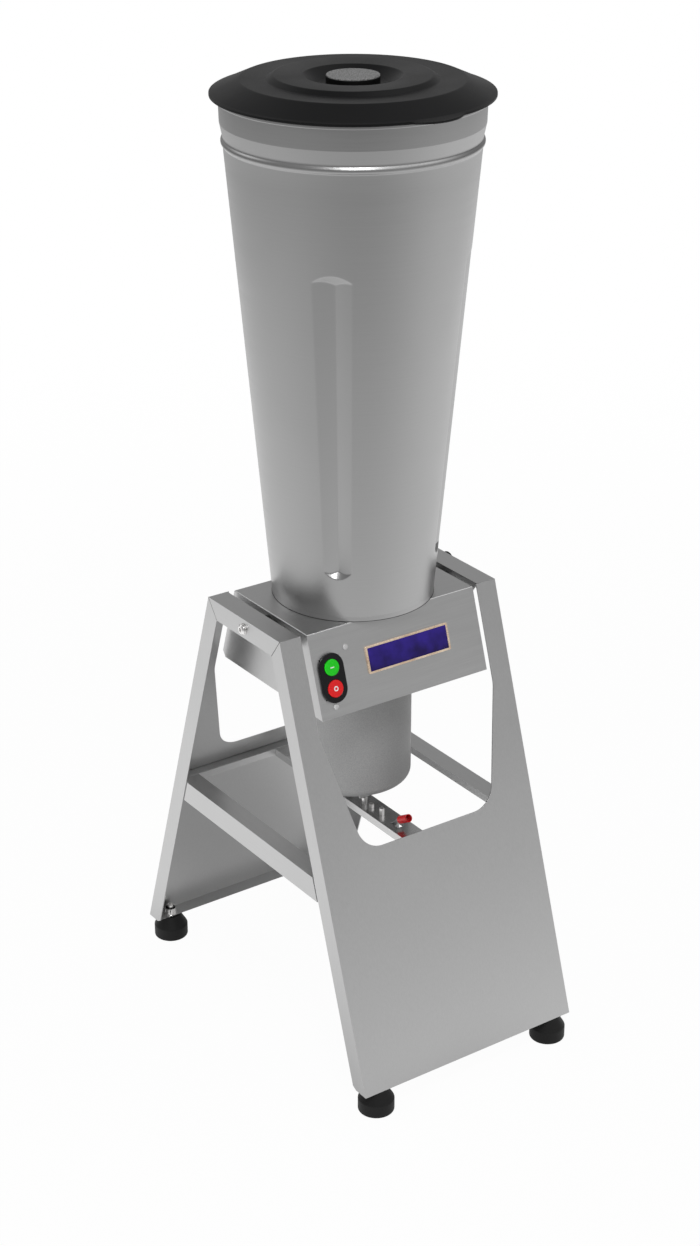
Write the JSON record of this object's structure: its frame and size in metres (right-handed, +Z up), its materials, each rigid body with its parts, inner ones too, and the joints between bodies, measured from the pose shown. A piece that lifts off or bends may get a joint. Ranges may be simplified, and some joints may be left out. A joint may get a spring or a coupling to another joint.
{
  "type": "tilting blender",
  "caption": "Floor-standing industrial blender: tall fluted steel jug on a motor head that tilts in an A-frame stand, with lid, push buttons and lever lock.",
  "frame": {"origin": "on the floor, at the centre of the four feet", "axes": "+X to the right seen from the front, -Y to the front with the push buttons, +Z up along the jug"},
  "size_m": [0.3343, 0.533, 1.2146],
  "materials": {
    "stand_steel": "fine brushed stainless sheet",
    "bar_steel": "smooth stainless sheet, clearer reflections",
    "head_steel": "fine brushed stainless sheet",
    "motor_steel": "drawn stainless can, brushed round",
    "jug_steel": "polished stainless sheet, brushed round",
    "hub_steel": "turned steel",
    "blade_steel": "ground blade steel",
    "fastener_steel": "bright plated steel",
    "bearing_steel": "ground bearing steel",
    "motor_cast": "cast aluminium, machined faces",
    "core_iron": "varnished steel laminations",
    "copper": "enamelled copper wire",
    "black_rubber": "matt black rubber",
    "seal_rubber": "smooth black rubber",
    "lid_plastic": "dark grey moulded plastic",
    "cap_plastic": "dark grey moulded plastic",
    "disc_plastic": "grey speckled plastic",
    "bush_plastic": "off-white bearing plastic",
    "fan_plastic": "black moulded plastic",
    "switch_plastic": "dark moulded plastic",
    "green_plastic": "bright green plastic",
    "red_plastic": "bright red plastic",
    "grip_plastic": "red plastic sleeve",
    "plate_metal": "blue lacquered plate with a copper-gold rim"
  },
  "bodies": {
    "stand": {"front_panel": "stand_steel", "rear_panel": "stand_steel", "left_rail": "stand_steel", "right_rail": "stand_steel", "left_side_member": "stand_steel", "right_side_member": "stand_steel", "front_cross_member": "stand_steel", "rear_cross_member": "stand_steel", "lock_bar": "bar_steel", "foot_front_left": "black_rubber", "foot_front_right": "black_rubber", "foot_rear_left": "black_rubber", "foot_rear_right": "black_rubber", "foot_studs": "fastener_steel", "foot_nuts": "fastener_steel", "pivot_bolts": "fastener_steel", "pivot_washers": "fastener_steel", "pivot_spacers": "fastener_steel", "pivot_nuts": "fastener_steel", "cable_grommet": "black_rubber", "lock_bracket": "bar_steel", "lock_bracket_screws": "fastener_steel", "lock_fulcrum_pin": "fastener_steel"},
    "head": {"head_cover": "head_steel", "motor_plate": "motor_cast", "motor_standoffs": "fastener_steel", "motor_housing": "motor_steel", "stator_core": "core_iron", "stator_winding": "copper", "upper_bearing": "bearing_steel", "lower_bearing": "bearing_steel", "pivot_bushes": "bush_plastic", "jug_base": "jug_steel", "jug_body": "jug_steel", "hub_housing": "hub_steel", "hub_bearing": "bearing_steel", "shaft_seal": "seal_rubber", "hub_screws": "fastener_steel", "switch_plate": "switch_plastic", "switch_block": "switch_plastic", "face_screws": "fastener_steel", "nameplate": "plate_metal", "catch_bracket": "motor_steel"},
    "lid": {"lid": "lid_plastic", "lid_gasket": "seal_rubber"},
    "cap": {"lid_cap": "cap_plastic", "cap_disc": "disc_plastic"},
    "start_button": {"green_button": "green_plastic"},
    "stop_button": {"red_button": "red_plastic"},
    "lock_lever": {"lock_lever": "fastener_steel", "lock_grip": "grip_plastic"},
    "lock_pin": {"lock_pin": "fastener_steel"},
    "drive": {"rotor_core": "core_iron", "motor_shaft": "hub_steel", "cooling_fan": "fan_plastic", "drive_coupling": "hub_steel", "blade_shaft": "hub_steel", "blades": "blade_steel", "blade_nut": "hub_steel"}
  },
  "joints": [
    {"name": "tilt", "type": "hinge", "parent": "stand", "child": "head", "pos_m": [0, 0, 0.567], "axis": [1, 0, 0], "range_deg": [0, 110]},
    {"name": "lid_lift", "type": "slide", "parent": "head", "child": "lid", "axis": [0, 0, 1], "range_m": [0, 0.08]},
    {"name": "cap_lift", "type": "slide", "parent": "lid", "child": "cap", "axis": [0, 0, 1], "range_m": [0, 0.03]},
    {"name": "start_press", "type": "slide", "parent": "head", "child": "start_button", "axis": [0, 0.951, -0.3093], "range_m": [0, 0.003], "stiffness_N_per_m": 800},
    {"name": "stop_press", "type": "slide", "parent": "head", "child": "stop_button", "axis": [0, 0.951, -0.3093], "range_m": [0, 0.003], "stiffness_N_per_m": 800},
    {"name": "lever_press", "type": "hinge", "parent": "stand", "child": "lock_lever", "pos_m": [-0.0015, -0.088, 0.28], "axis": [1, 0, 0], "range_deg": [0, 7]},
    {"name": "pin_lift", "type": "slide", "parent": "stand", "child": "lock_pin", "axis": [0, 0, 1], "range_m": [0, 0.007]},
    {"name": "drive_spin", "type": "hinge", "parent": "head", "child": "drive", "pos_m": [0, 0, 0.45], "axis": [0, 0, 1], "continuous": true}
  ],
  "couplings": [
    {"joint": "pin_lift", "follows": "lever_press", "m_per_rad": 0.057}
  ]
}
